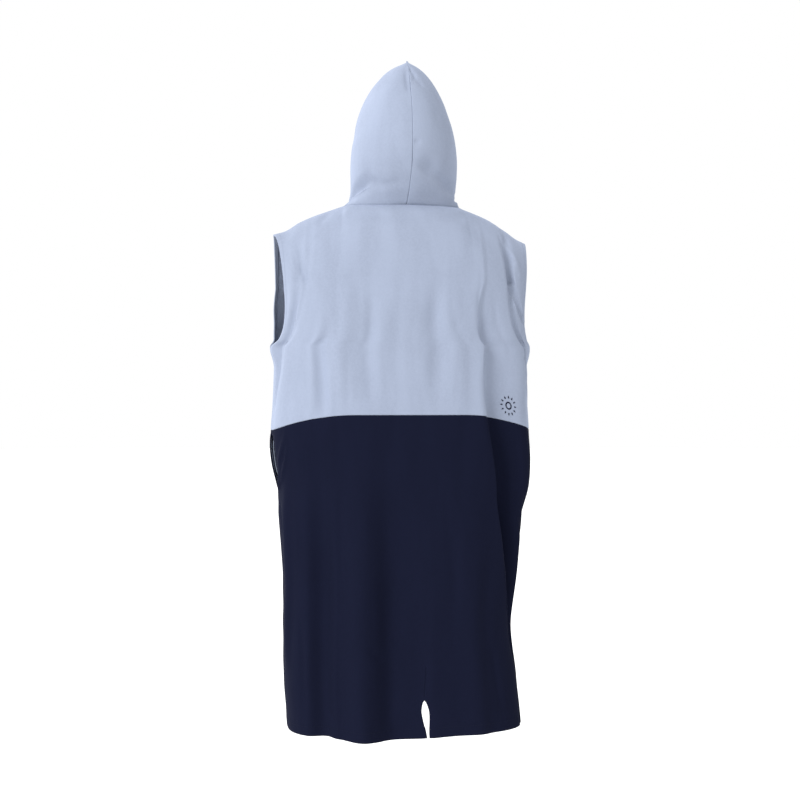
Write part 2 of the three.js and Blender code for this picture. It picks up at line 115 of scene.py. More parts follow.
RIGHT_SHOULDER = rows_of(
    "along x z",
    (0, 119.5, 0),
    (0.35, 172, -20),
    (0.6, 207, -40),
    (0.8, 234, -59),
    (1, 259, -70),
)
# Broad folds. across is a share of the half panel; deep is how far the cloth sinks, or stands out below 0.
BACK_FOLDS = rows_of(
    "across level deep wide",
    ((-0.7, -0.96), (100, 410), 10, (0.13, 0.06)),
    ((-0.83, -0.64), (66, 170), 4, (0.05, 0.06)),
    ((-0.38, -0.26), (110, 430), -5, (0.07, 0.1)),
    ((-0.46, -0.38), (215, 450), 6, (0.08, 0.06)),
    ((-0.19, -0.13), (170, 420), 3, (0.06, 0.05)),
    ((0.12, 0.07), (120, 440), 5, (0.08, 0.08)),
    ((0.66, 0.84), (50, 400), 8, (0.05, 0.08)),
    ((0.68, 0.98), (130, 245), 6, (0.05, 0.07)),
    ((-0.18, -0.19), (420, 1300), -18, (0.15, 0.11)),
    ((-0.05, -0.04), (520, 1300), 15, (0.08, 0.12)),
    ((-0.43, -0.47), (430, 1300), 17, (0.15, 0.12)),
    ((0.27, 0.33), (560, 1300), -8, (0.15, 0.13)),
    ((-0.78, -0.9), (480, 960), -6, (0.09, 0.11)),
    ((-0.68, -0.98), (425, 560), -4, (0.06, 0.06)),
)
FRONT_FOLDS = rows_of(
    "across level deep wide",
    ((-0.62, -0.8), (160, 430), 10, (0.12, 0.09)),
    ((0.6, 0.78), (150, 450), 12, (0.09, 0.13)),
    ((-0.3, -0.36), (240, 1300), 20, (0.13, 0.15)),
    ((0.04, 0.06), (330, 1300), 13, (0.14, 0.11)),
    ((0.34, 0.42), (220, 1300), 23, (0.14, 0.16)),
    ((-0.14, -0.13), (480, 1300), -12, (0.12, 0.12)),
    ((0.7, 0.72), (520, 1300), 16, (0.14, 0.12)),
    ((-0.68, -0.7), (560, 1300), 14, (0.13, 0.13)),
)
# The deep fold at the back's right: where its edge hangs, and how far the cloth steps in behind it.
SIDE_FOLD_AT_REST = 0.5
SIDE_FOLD_WALL = 0.045
SIDE_FOLD_WIDE = 0.3
SIDE_FOLD = rows_of(
    "level across deep",
    (0, 0.5, 0),
    (110, 0.46, 0),
    (200, 0.4, 8),
    (300, 0.325, 17),
    (424, 0.34, 27),
    (545, 0.4, 36),
    (700, 0.555, 42),
    (840, 0.765, 34),
    (960, 0.82, 24),
    (1062, 0.805, 14),
)
HOOD = rows_of(
    "row back side front half middle rear fore reach",
    (0, -2, 0, -52, 119.5, 0, 65, 85, 180),
    (1, 14, 14, -20, 113, 1, 73, 100, 158),
    (2, 36, 34, 22, 108, 1, 86, 113, 148),
    (3, 66, 62, 68, 109, 0, 101, 122, 144),
    (4, 100, 95, 112, 108, -2, 109, 127, 142),
    (5, 140, 136, 154, 102.5, -3, 111, 127, 142),
    (6, 182, 178, 192, 93, -3, 106, 122, 142),
    (7, 222, 219, 224, 78, -2, 93, 113, 143),
    (8, 255, 254, 247, 58, 0, 74, 103, 147),
    (9, 281, 280, 262, 32.5, 2, 50, 93, 158),
    (10, 297, 293, 270, 0, 4, 24, 84, 180),
)
HOOD_LEAN = rows_of(
    "row right",
    (0, 0),
    (1, 2),
    (3, 4.5),
    (6, 4.5),
    (8, 5),
    (10, 8.5),
)
HOOD_FOLDS = rows_of(
    "side turn row deep above below",
    (-1, (92, 40), (1, 2.5), 8, 1.1, 0.35),
    (1, (20, 70), (3.1, 1.9), -4, 1.3, 1.2),
    (1, (70, 120), (1.2, 1.7), 6, 0.8, 0.5),
    (-1, (100, 150), (4.2, 2.6), 5, 1.4, 1),
    (1, (100, 150), (5, 3.2), 6, 1.4, 1),
)

# Fine creases. Each runs through its points; deep is how far it sinks, or stands out below 0. wide is its
# width to the left and to the right of the line, as seen going along it, in millimetres.
BACK_CREASES = rows_of(
    "across level deep wide",
    ((0.40, 0.365, 0.34, 0.345, 0.39), (180, 270, 350, 424, 520), 3.5, (36, 7)),
    ((0.39, 0.44, 0.57, 0.74, 0.83), (520, 560, 700, 830, 960), 4, (34, 7)),
    ((0.675, 0.69, 0.716, 0.775), (56, 95, 135, 200), 5.6, (30, 9)),
    ((0.76, 0.785, 0.8, 0.87), (185, 225, 299, 375), 4.6, (30, 10)),
    ((0.691, 0.77, 0.868), (70, 92, 116), -2.6, (7, 9)),
    ((0.72, 0.78, 0.85), (96, 116, 140), 1.6, (10, 12)),
    ((0.8, 0.86, 0.93), (168, 184, 208), 1.4, (10, 12)),
    ((0.86, 0.95), (264, 272), 1.8, (9, 9)),
    ((0.89, 0.98), (304, 322), 2, (8, 9)),
    ((0.9, 0.98), (342, 352), 1.6, (8, 8)),
    ((0.55, 0.56, 0.57), (180, 240, 330), 1.3, (12, 9)),
    ((-0.65, -0.71, -0.76, -0.88), (120, 215, 262, 385), 2.7, (11, 26)),
    ((-0.84, -0.8, -0.7, -0.67), (88, 112, 142, 185), 2.4, (8, 9)),
    ((-0.97, -0.9, -0.82), (306, 322, 330), 1.8, (9, 9)),
    ((-0.46, -0.44, -0.38), (235, 300, 418), 2.4, (9, 14)),
    ((-0.56, -0.54, -0.5), (200, 280, 400), 1.6, (9, 14)),
    ((-0.2, -0.18, -0.14), (175, 280, 415), 2.2, (8, 12)),
    ((-0.27, -0.25), (290, 420), 1.6, (6, 10)),
    ((-0.06, -0.05, -0.03), (205, 290, 380), 2.0, (6, 11)),
    ((0.0, 0.02), (280, 405), 1.4, (6, 9)),
    ((0.12, 0.1, 0.07), (140, 240, 410), 2.2, (10, 14)),
    ((0.2, 0.24, 0.24), (190, 300, 412), 1.6, (12, 9)),
    ((0.41, 0.4, 0.365), (150, 240, 330), 2.2, (14, 6)),
    ((-0.3, -0.1, 0.1), (44, 58, 54), 1.6, (11, 14)),
    ((0.12, 0.3, 0.42), (62, 56, 38), 1.6, (11, 12)),
    ((-0.5, -0.62), (28, 66), 1.4, (10, 12)),
    ((-0.715, -0.695, -0.73, -0.84, -0.975), (444, 468, 492, 528, 546), -2.6, (5, 7)),
    ((-0.76, -0.86, -0.96), (478, 505, 518), 2.0, (7, 7)),
    ((-0.93, -0.9, -0.84), (565, 610, 650), 2.0, (8, 10)),
    ((-0.995, -0.95, -0.88), (690, 700, 716), 2.4, (7, 9)),
    ((-0.995, -0.96, -0.9), (782, 779, 768), 2.2, (7, 9)),
    ((0.7, 0.82, 0.97), (545, 572, 620), 2.8, (6, 11)),
    ((0.76, 0.86, 0.97), (600, 632, 668), 2.2, (6, 10)),
    ((-0.42, -0.38, -0.34), (1003, 1026, 1052), 2.0, (7, 8)),
    ((-0.15, -0.09), (878, 914), 1.8, (7, 8)),
    ((-0.32, -0.3, -0.32), (545, 660, 790), 1.8, (10, 14)),
    ((0.12, 0.15, 0.2), (560, 680, 830), 2.0, (14, 10)),
    ((0.0, 0.03, 0.035), (880, 940, 990), 2.4, (8, 9)),
    ((0.45, 0.48, 0.52), (860, 950, 1045), 2.2, (10, 12)),
    ((-0.66, -0.63, -0.62), (800, 900, 1035), 2.0, (12, 10)),
    ((0.06, 0.18, 0.3), (1002, 1016, 1026), 1.6, (7, 8)),
    ((0.62, 0.66, 0.7), (450, 520, 600), 1.8, (9, 12)),
)
FRONT_CREASES = rows_of(
    "across level deep wide",
    ((-0.64, -0.76, -0.88), (84, 116, 160), 3.4, (12, 6)),
    ((-0.6, -0.7, -0.8, -0.9), (160, 205, 248, 276), 3.4, (13, 6)),
    ((-0.97, -0.86, -0.66), (300, 306, 330), 2.6, (7, 10)),
    ((0.62, 0.74, 0.86), (80, 108, 152), 3.4, (6, 12)),
    ((0.6, 0.7, 0.84, 0.92), (170, 214, 262, 282), 3.4, (6, 13)),
    ((0.97, 0.84, 0.68), (306, 318, 340), 2.6, (10, 7)),
    ((-0.4, -0.26, -0.12), (58, 76, 88), 2.6, (9, 13)),
    ((0.42, 0.26, 0.1), (56, 78, 92), 2.6, (13, 9)),
    ((-0.24, 0.0, 0.2), (116, 130, 120), 1.9, (10, 15)),
    ((-0.46, -0.44, -0.4), (220, 300, 412), 2.2, (9, 14)),
    ((0.2, 0.22, 0.25), (230, 320, 412), 2.2, (13, 9)),
    ((0.03, 0.0, -0.02), (180, 260, 370), 1.8, (9, 13)),
    ((-0.98, -0.86, -0.72), (575, 592, 640), 2.6, (7, 11)),
    ((0.98, 0.88, 0.74), (580, 600, 655), 2.6, (11, 7)),
    ((-0.56, -0.53, -0.5), (660, 780, 920), 2.2, (10, 14)),
    ((0.2, 0.19, 0.16), (620, 740, 880), 2.4, (14, 10)),
    ((-0.03, -0.01, 0.0), (740, 840, 960), 2.0, (10, 13)),
    ((0.55, 0.58, 0.61), (800, 900, 1030), 2.4, (9, 13)),
    ((-0.22, -0.24, -0.27), (880, 960, 1045), 2.2, (12, 9)),
    ((0.3, 0.34, 0.37), (960, 1010, 1052), 2.0, (8, 9)),
    ((0.82, 0.86, 0.9), (700, 800, 930), 2.2, (9, 13)),
    ((-0.84, -0.87, -0.88), (720, 830, 960), 2.2, (13, 9)),
)
# Fine creases of the hood, placed by degrees round from the centre back and by rows up from the neck.
# Left and right of a line are as seen from outside on the hood's right half.
HOOD_CREASES = rows_of(
    "side turn row deep wide",
    (-1, (92, 66, 41, 34), (0.3, 1.2, 2.2, 2.5), 3, (18, 16)),
    (-1, (112, 84), (1.5, 0.9), 2.6, (7, 7)),
    (-1, (10, 6, 3), (8.6, 7.8, 6.7), 3.6, (10, 15)),
    (-1, (60, 84, 110), (5.8, 5.1, 4.8), 1.8, (12, 12)),
    (-1, (96, 116, 136), (2.9, 2.3, 2.0), 2.4, (8, 11)),
    (-1, (4, 30, 58), (2.3, 2.0, 2.6), 1.6, (10, 12)),
    (1, (1, 25, 50, 66), (3.4, 2.75, 1.85, 1.5), 9, (26, 11)),
    (1, (1, 9), (4.5, 4.45), 2.4, (4, 4)),
    (1, (1, 10, 24), (7.8, 7.8, 7.3), 3, (9, 4)),
    (1, (2, 6, 16), (8.9, 8.4, 7.9), 3, (9, 6)),
    (1, (60, 78, 96), (0.8, 1.1, 1.8), 3, (10, 6)),
    (1, (70, 94, 118), (6.4, 5.7, 5.4), 1.8, (12, 12)),
    (1, (100, 118, 138), (3.2, 2.6, 2.2), 2.4, (8, 11)),
    (1, (28, 40, 58), (6.2, 5.4, 4.9), 1.5, (12, 12)),
)


def mix(a, b, share):
    return a + (b - a) * share


def smooth(share):
    t = np.clip(share, 0, 1)
    return t * t * (3 - 2 * t)


def hump(distance, before, after):
    """A cosine hump: 1 at no distance, 0 past its width on either side."""
    t = np.minimum(np.abs(distance) / np.where(distance < 0, before, after), 1)
    return (1 + np.cos(np.pi * t)) / 2


def curve_through(table, at, column):
    """A smooth curve through one column of a table, read at any values of another column."""
    knots = np.array([row[at] for row in table], float)
    values = np.array([row[column] for row in table], float)
    before = np.maximum(np.arange(len(table)) - 1, 0)
    after = np.minimum(np.arange(len(table)) + 1, len(table) - 1)
    slopes = (values[after] - values[before]) / (knots[after] - knots[before])

    def read(places):
        i = np.clip(np.searchsorted(knots, places) - 1, 0, len(table) - 2)
        span = knots[i + 1] - knots[i]
        t = np.clip((places - knots[i]) / span, 0, 1)
        rise = values[i + 1] - values[i]
        bend_in = slopes[i] * span - rise
        bend_out = rise - slopes[i + 1] * span
        return values[i] + rise * t + t * (1 - t) * (bend_in * (1 - t) + bend_out * t)

    return read


def curves_of(table, at):
    return SimpleNamespace(**{name: curve_through(table, at, name) for name in table[0] if name != at})


body = curves_of(BODY, "level")
armhole = curves_of(ARMHOLE, "level")
left_shoulder = curves_of(LEFT_SHOULDER, "along")
right_shoulder = curves_of(RIGHT_SHOULDER, "along")
side_fold = curves_of(SIDE_FOLD, "level")
hood = curves_of(HOOD, "row")
hood_lean = curves_of(HOOD_LEAN, "row")


def folds_at(folds, across, level):
    deep = 0
    for fold in folds:
        along = (level - fold["level"][0]) / (fold["level"][1] - fold["level"][0])
        line = mix(*fold["across"], along)
        strength = smooth(along / 0.4) * smooth((1 - along) / 0.25)
        deep = deep + fold["deep"] * strength * hump(across - line, *fold["wide"])
    return deep


def follow_side_fold(across, level):
    """Columns near the deep fold shift with its edge, so that they run along it."""
    away = across - SIDE_FOLD_AT_REST
    reach = np.where(away < 0, 0.4, 0.49)
    return across + (side_fold.across(level) - SIDE_FOLD_AT_REST) * np.maximum(0, 1 - np.abs(away) / reach)


def side_fold_at(across, level):
    away = across - SIDE_FOLD_AT_REST
    ease = 1 - smooth((away - SIDE_FOLD_WALL) / SIDE_FOLD_WIDE)
    return side_fold.deep(level) * smooth(away / SIDE_FOLD_WALL) * ease


def top_points(face, across):
    """The body's top edge: the neckline, then the shoulder seam. face is -1 on the back, 1 in front."""
    share = np.abs(across)
    side = np.sign(across)
    turn = np.minimum(share / NECK.share, 1) * np.pi / 2
    deep, fall = (NECK.back, NECK.fall_back) if face < 0 else (NECK.front, NECK.fall_front)
    along = (share - NECK.share) / (1 - NECK.share)
    out = np.where(side < 0, left_shoulder.x(along), right_shoulder.x(along))
    high = np.where(side < 0, left_shoulder.z(along), right_shoulder.z(along))
    on_neck = share <= NECK.share
    x = side * np.where(on_neck, NECK.half * np.sin(turn), out)
    z = np.where(on_neck, -fall * np.cos(turn), high)
    return np.stack([x, face * deep * np.cos(turn) * on_neck, z], axis=-1)


def ring_points(face, across, level):
    placed = follow_side_fold(across, level) if face < 0 else across
    share = np.minimum(np.abs(placed), 1)
    side = np.sign(placed)
    half = np.where(side < 0, body.left(level), body.right(level))
    depth = body.back(level) if face < 0 else body.front(level)
    edge = np.maximum(armhole.back(level) if face < 0 else armhole.front(level), 0)
    power = body.square(level)
    wrap = np.arccos((edge / depth) ** (1 / power))
    tip = UNDERARM_TIP.out * hump(level - UNDERARM, UNDERARM_TIP.above, UNDERARM_TIP.below)
    x = side * half * (np.sin(wrap * share) / np.sin(wrap)) ** power
    y = face * depth * np.maximum(np.cos(wrap * share), 0) ** power
    sideways = smooth((share - 0.2) / 0.8)
    lift = 0 if face < 0 else body.rise(level) * (1 - sideways)
    dip = HEM_DIP.deep * smooth((level - HEM_DIP.start) / (HEM - HEM_DIP.start))
    droop = dip * hump(across - HEM_DIP.across, HEM_DIP.wide, HEM_DIP.wide)
    if face < 0:
        folds = folds_at(BACK_FOLDS, placed, level) + side_fold_at(across, level)
    else:
        folds = folds_at(FRONT_FOLDS, placed, level)
    lean = np.stack([x / half**2, y / depth**2], axis=-1)
    lean = lean / np.maximum(np.linalg.norm(lean, axis=-1, keepdims=True), 1e-12)
    folds = folds * np.where(level < UNDERARM, 1, smooth((1 - share) / 0.08))
    out = side * tip * smooth(1 - (1 - share) / UNDERARM_TIP.reach)
    if face < 0:
        out = out + armhole.inset(level) * (side < 0) * smooth(1 - (1 - share) / ARMHOLE_INSET_REACH)
    down = -level - body.drop(level) * sideways + lift - droop
    return np.stack([x - lean[..., 0] * folds + out, y - lean[..., 1] * folds, down], axis=-1)


def body_points(face, across, level):
    """The body: over the shoulder in a quarter turn, then straight down from ring to ring."""
    ring = ring_points(face, across, np.maximum(level, SHOULDER_TURN))
    top = top_points(face, across)
    turn = np.minimum(level / SHOULDER_TURN, 1) * np.pi / 2
    placed = follow_side_fold(across, level) if face < 0 else across
    folds = folds_at(BACK_FOLDS if face < 0 else FRONT_FOLDS, placed, level)
    over = np.stack(
        [
            mix(top[..., 0], ring[..., 0], level / SHOULDER_TURN),
            mix(top[..., 1], ring[..., 1], np.sin(turn)) - face * folds * np.sin(turn),
            mix(top[..., 2], ring[..., 2], 1 - np.cos(turn)),
        ],
        axis=-1,
    )
    return np.where((level < SHOULDER_TURN)[..., None], over, ring)


def vent_half(level):
    head = np.sqrt(np.clip((level - VENT.top) / (VENT.widest - VENT.top), 0, 1))
    narrowing = smooth((level - VENT.widest) / (HEM - VENT.widest))
    return mix(VENT.wide, VENT.foot, narrowing) * head / 2


def mouth_at(level):
    """How open a pocket's mouth is, from 0 to 1."""
    share = np.clip((level - POCKET.top) / (POCKET.bottom - POCKET.top), 0, 1)
    return np.maximum(np.sin(np.pi * share), 0) ** 0.6 * (1.15 - 0.5 * share)


def at_pocket(face, across, level, points):
    """The front's edge flares at a pocket's mouth, and the back's edge tucks in."""
    left = across < 0
    turn = np.where(left & (face < 0), POCKET_MOUTH.turn_left, POCKET_MOUTH.turn)
    edge_share = smooth((np.abs(across) - 1 + turn) / turn)
    if face < 0:
        move = -np.where(left, POCKET_MOUTH.tuck_left, POCKET_MOUTH.tuck)
    else:
        move = POCKET_MOUTH.flare * np.where(left, 1, 0.45)
    points[..., 0] += np.sign(across) * move * edge_share * mouth_at(level)
    return points


def back_points(across, level, half=0):
    points = body_points(-1, across, level)
    away = np.maximum(0, 1 - np.abs(across - VENT.across) / VENT.reach)
    below_top = level - VENT.top
    slant = VENT.slant * (below_top / (HEM - VENT.top) - 0.5) * smooth((below_top + 60) / 80)
    points[..., 0] += (half * vent_half(level) + slant * (below_top > -60)) * away
    return at_pocket(-1, across, level, points)


def front_points(across, level):
    return at_pocket(1, across, level, body_points(1, across, level))


def hood_points(side, share, row):
    """The hood: share runs from 0 at the centre back to 1 at the face edge, row from the neck up."""
    turn = hood.reach(row) * share
    even = 180 * share
    swing = np.cos(np.radians(turn))
    level_share = np.abs(np.cos(np.radians(even)))
    high = mix(hood.side(row), np.where(even < 90, hood.back(row), hood.front(row)), level_share)
    deep = 0
    for fold in HOOD_FOLDS:
        if fold["side"] != side:
            continue
        along = (turn - fold["turn"][0]) / (fold["turn"][1] - fold["turn"][0])
        strength = smooth(along / 0.3) * smooth((1 - along) / 0.4)
        away = row - mix(*fold["row"], along)
        deep = deep + fold["deep"] * strength * hump(away, fold["below"], fold["above"])
    deep = deep * smooth(row / 0.8)
    out = np.maximum(hood.half(row) - deep, 0) * np.sin(np.radians(turn))
    depth = np.where(turn < 90, hood.rear(row), hood.fore(row))
    forward = hood.middle(row) - (depth - deep) * swing
    return np.stack([hood_lean.right(row) + side * out, forward, high], axis=-1)


LATTICE = np.random.default_rng(11).uniform(-1, 1, (32, 32, 32))


def ripple(points, size, seed=0.0):
    """Smooth noise from -1 to 1 at points in millimetres, with waves of about the given size."""
    place = points / size + [seed, seed * 1.7, -seed]
    low = np.floor(place).astype(int)
    near = smooth(place - low)
    value = 0.0
    for corner in np.ndindex(2, 2, 2):
        at = (low + corner) % 32
        weight = np.prod(np.where(corner, near, 1 - near), axis=-1)
        value = value + weight * LATTICE[at[..., 0], at[..., 1], at[..., 2]]
    return value


def crease_at(across_mm, down_mm, line, deep, wide):
    """One fine crease along a line of points on the flat cloth, as a soft trough that fades at its ends."""
    steps = np.diff(line, axis=0)
    lengths = np.hypot(*steps.T)
    done = np.cumsum(lengths) - lengths
    nearest = np.full(np.shape(across_mm), np.inf)
    side = 0.0 * nearest
    along = 0.0 * nearest
    for start, step, length, before in zip(line, steps / lengths[:, None], lengths, done):
        right, down = across_mm - start[0], down_mm - start[1]
        place = np.clip(right * step[0] + down * step[1], 0, length)
        away = np.hypot(right - place * step[0], down - place * step[1])
        closer = away < nearest
        nearest = np.where(closer, away, nearest)
        side = np.where(closer, right * step[1] - down * step[0], side)
        along = np.where(closer, (before + place) / lengths.sum(), along)
    width = np.where(side > 0, wide[0], wide[1])
    fade = smooth(along / 0.3) * smooth((1 - along) / 0.3) * 0.85 + 0.15
    return deep * fade * np.exp(-((nearest / width) ** 2))


def body_relief(face, across, level, points):
    """What stands out of the body's cloth beyond its broad folds, in millimetres along its normal."""
    placed = follow_side_fold(across, level) if face < 0 else across
    relief = 0.0
    for crease in BACK_CREASES if face < 0 else FRONT_CREASES:
        line = np.stack([np.multiply(crease["across"], HALF_PANEL), crease["level"]], axis=1)
        relief = relief - crease_at(placed * HALF_PANEL, level, line, crease["deep"], crease["wide"])
    relief = relief * smooth((1 - np.abs(across)) / 0.03)
    relief = relief + 1.3 * ripple(points, 85) + 0.5 * ripple(points, 34, 3.1)
    on_neck = smooth((NECK.share + 0.05 - np.abs(across)) / 0.05)
    relief = relief * (1 - on_neck * (1 - smooth(level / 12)))
    for place, seed in ((COLOUR_SEAM, 7.3), (HEM - HEM_WIDE, 11.9)):
        flat = np.stack([placed * HALF_PANEL, 0 * level, 0 * level + seed * 40], axis=-1)
        relief = relief + 0.6 * ripple(flat, 11) * np.exp(-(((level - place) / 15) ** 2))
    return relief


def hood_relief(side, share, row, points):
    turn = hood.reach(row) * share
    relief = 0.0
    for crease in HOOD_CREASES:
        if crease["side"] != side:
            continue
        line = np.multiply(np.stack([crease["turn"], crease["row"]], axis=1), [HOOD_ROUND / 145, -HOOD_ROW])
        round_mm = turn * HOOD_ROUND / 145
        relief = relief - crease_at(round_mm, -row * HOOD_ROW, line, crease["deep"], crease["wide"])
    relief = relief + 1.1 * ripple(points, 70) + 0.4 * ripple(points, 30, 3.1)
    return relief * smooth(row / 0.35)


# How the cloth ends: turned in on itself as a hem, or tucked in to a seam.
ROLL = 2.3
SEAM_ROLL = 1.7
NECK_ROLL = 0.4
NECK_TUCK = 1.2
POCKET_ROLL = 1.2
SEAM_CLOTH = 6
HEM_WIDE = 20
ARMHOLE_HEM = 15
FACE_HEM = 22


def past_edge(past, roll, hem, tuck, turned):
    """Where cloth lies past an edge: how far back along it, out across it and in from it, in millimetres.

    turned is 1 where the cloth is turned in as a hem, 0 where it is tucked in to a seam.
    """
    angle = np.minimum(past / roll, np.pi)
    rest = np.maximum(past - np.pi * roll, 0)
    hemmed = (rest, roll * np.sin(angle), roll * (1 - np.cos(angle)))
    lip = np.minimum(past / roll, np.pi / 2)
    depth = tuck * np.maximum(past - np.pi / 2 * roll, 0) / (hem + np.pi / 2 * roll)
    tucked = (0 * past, roll * np.sin(lip), roll * (1 - np.cos(lip)) + depth)
    return [mix(a, b, turned) for a, b in zip(tucked, hemmed)]


def spaced(start, end, step, fine=(), fine_step=1.4, near=7):
    """Places from start to end, step apart, and closer together near the places in fine."""
    places = [start]
    while places[-1] < end:
        here = places[-1]
        close = any(abs(here - place) < near for place in fine)
        places.append(here + (fine_step if close else step))
    places = np.array(places)
    return start + (places - start) * (end - start) / (places[-1] - start)


class Edge:
    """How a piece of cloth ends: its roll's radius, the cloth past it and how deep a seam tucks it in."""

    def __init__(self, roll, hem, tuck=4):
        self.roll = roll
        self.hem = hem
        self.tuck = tuck
        round_it = np.linspace(0, np.pi * roll, 7)[1:]
        back = np.pi * roll + np.linspace(0, hem, max(int(hem / 3.5), 1) + 1)[1:]
        self.steps = np.concatenate([round_it, back])


class Lines:
    """The columns or rows of a piece of cloth: where each lies, and how far past an edge."""

    def __init__(self, places, per_mm, low=None, high=None):
        self.per_mm = per_mm
        base = np.array(places, float)
        if low:
            base[0] += low.roll * per_mm
        if high:
            base[-1] -= high.roll * per_mm
        base = np.sort(base)
        low_steps = low.steps[::-1] if low else np.array([])
        high_steps = high.steps if high else np.array([])
        self.at = np.concatenate([0 * low_steps + base[0], base, 0 * high_steps + base[-1]])
        self.ends = []
        if low:
            self.ends.append((low, -1, np.concatenate([low_steps, 0 * base, 0 * high_steps])))
        if high:
            self.ends.append((high, 1, np.concatenate([0 * low_steps, 0 * base, high_steps])))

    def moved(self, chosen, turned):
        """Where the chosen lines lie on the cloth, and how far they stand out across and in."""
        at = self.at[chosen]
        out = 0 * at
        inward = 0 * at
        for edge, way, past in self.ends:
            back, across, deep = past_edge(past[chosen], edge.roll, edge.hem, edge.tuck, turned)
            at = at - way * back * self.per_mm
            out = out + way * across
            inward = inward + deep
        return at, out, inward


# A point of the wearer's middle, and how much each axis counts in telling inside from outside.
WEARER = np.array([0.0, 10.0, 0.0])
ROUND_WEARER = np.array([1.0, 1.0, 0.2])

# At a corner of a piece, the depths in millimetres at which one edge's turn gives way to the other's.
TUCKED = 4
TURNED = 3


def unit(vectors):
    return vectors / np.maximum(np.linalg.norm(vectors, axis=1, keepdims=True), 1e-9)


def outward_normals(points, along_u, along_v):
    """A surface's unit normals, away from the wearer, and -1 where they had to be turned round for that."""
    normal = unit(np.cross(along_u, along_v))
    way = np.sign(np.sum(normal * (points - WEARER) * ROUND_WEARER, axis=1).mean())
    return normal * way, way


def new_grid(columns, rows):
    """A flat grid, with the column and the row that each of its points is in."""
    mesh = bmesh.new()
    counts = (columns - 1, rows - 1)
    bmesh.ops.create_grid(mesh, x_segments=counts[0], y_segments=counts[1], size=0.5)
    places = np.array([vert.co[:2] for vert in mesh.verts]) + 0.5
    column, row = np.rint(places * counts).astype(int).T
    return mesh, column, row


def lay_out(mesh, points, flat_u, flat_v, turn_over):
    """Move a grid's points to their places, in millimetres, and note where each lies on the flat cloth."""
    for vert, point in zip(mesh.verts, points):
        vert.co = Vector(point) * MM
    if turn_over:
        bmesh.ops.reverse_faces(mesh, faces=mesh.faces)
    uv = mesh.loops.layers.uv.new("cloth")
    for face in mesh.faces:
        face.smooth = True
        for loop in face.loops:
            i = loop.vert.index
            loop[uv].uv = (flat_u[i], flat_v[i])


def cloth_piece(columns, rows, surface, relief, turned_column, turned_row, settle=0):
    """A piece of cloth as a new mesh: a grid laid on a surface, with its edges turned or tucked in.

    turned_column and turned_row give, from a place on the cloth, whether its column and row ends are hems.
    settle is how far below the last row the cloth's direction is read, where it narrows to a point.
    """
    mesh, column, row = new_grid(len(columns.at), len(rows.at))
    level = rows.at[row]
    across = columns.at[column]
    across, out_u, in_u = columns.moved(column, turned_column(across, level))
    level, out_v, in_v = rows.moved(row, turned_row(across, level))
    past_row = smooth(in_v / TUCKED)
    past_column = smooth((out_u**2 + in_u**2) / TURNED**2)
    hemmed = turned_column(across, level) > 0.5
    out_u = out_u * (1 - past_row)
    in_u = in_u * np.where(hemmed, 1, 1 - past_row)
    out_v = out_v * (1 - past_column)

    points = surface(across, level)
    step_u, step_v = columns.per_mm / 2, rows.per_mm / 2
    ends_u = (np.min(columns.at), np.max(columns.at))
    ends_v = (np.min(rows.at), np.max(rows.at))
    high, low = np.clip(across + step_u, *ends_u), np.clip(across - step_u, *ends_u)
    inner = np.minimum(level, ends_v[1] - settle)
    along_u = surface(high, inner) - surface(low, inner)
    stretch = np.linalg.norm(along_u, axis=1) / ((high - low) / columns.per_mm)
    out_u, in_u = out_u * np.minimum(stretch, 1.1), in_u * np.minimum(stretch, 1)
    high, low = np.clip(inner + step_v, *ends_v), np.clip(inner - step_v, *ends_v)
    along_v = surface(across, high) - surface(across, low)
    along_u, along_v = unit(along_u), unit(along_v)
    normal, way = outward_normals(points, along_u, along_v)
    lift = relief(across, level, points) - in_u - in_v
    points = points + normal * lift[:, None] + along_u * out_u[:, None] + along_v * out_v[:, None]

    lay_out(mesh, points, across / columns.per_mm * MM, level / rows.per_mm * MM, way < 0)
    return mesh


def finished(name, mesh, node, materials, thick):
    """A piece as an object that rides with the garment and stands for its solid."""
    data = bpy.data.meshes.new(name)
    mesh.to_mesh(data)
    mesh.free()
    for material in materials:
        data.materials.append(material)
    piece = bpy.data.objects.new(name, data)
    bpy.context.collection.objects.link(piece)
    if thick:
        wall = piece.modifiers.new("wall", "SOLIDIFY")
        wall.thickness = thick * MM
        wall.offset = -1
        wall.use_even_offset = False
        wall.material_offset = 1
        wall.material_offset_rim = 0
    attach(piece, "root")
    if node:
        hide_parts(node)
    return piece


class Number:
    """A shader number: an expression on it adds the Math nodes that work it out."""

    def __init__(self, look, socket):
        self.look = look
        self.socket = socket

    def __add__(self, other):
        return self.look.math("ADD", self, other)

    def __sub__(self, other):
        return self.look.math("SUBTRACT", self, other)

    def __rsub__(self, other):
        return self.look.math("SUBTRACT", other, self)

    def __mul__(self, other):
        return self.look.math("MULTIPLY", self, other)

    __radd__ = __add__
    __rmul__ = __mul__


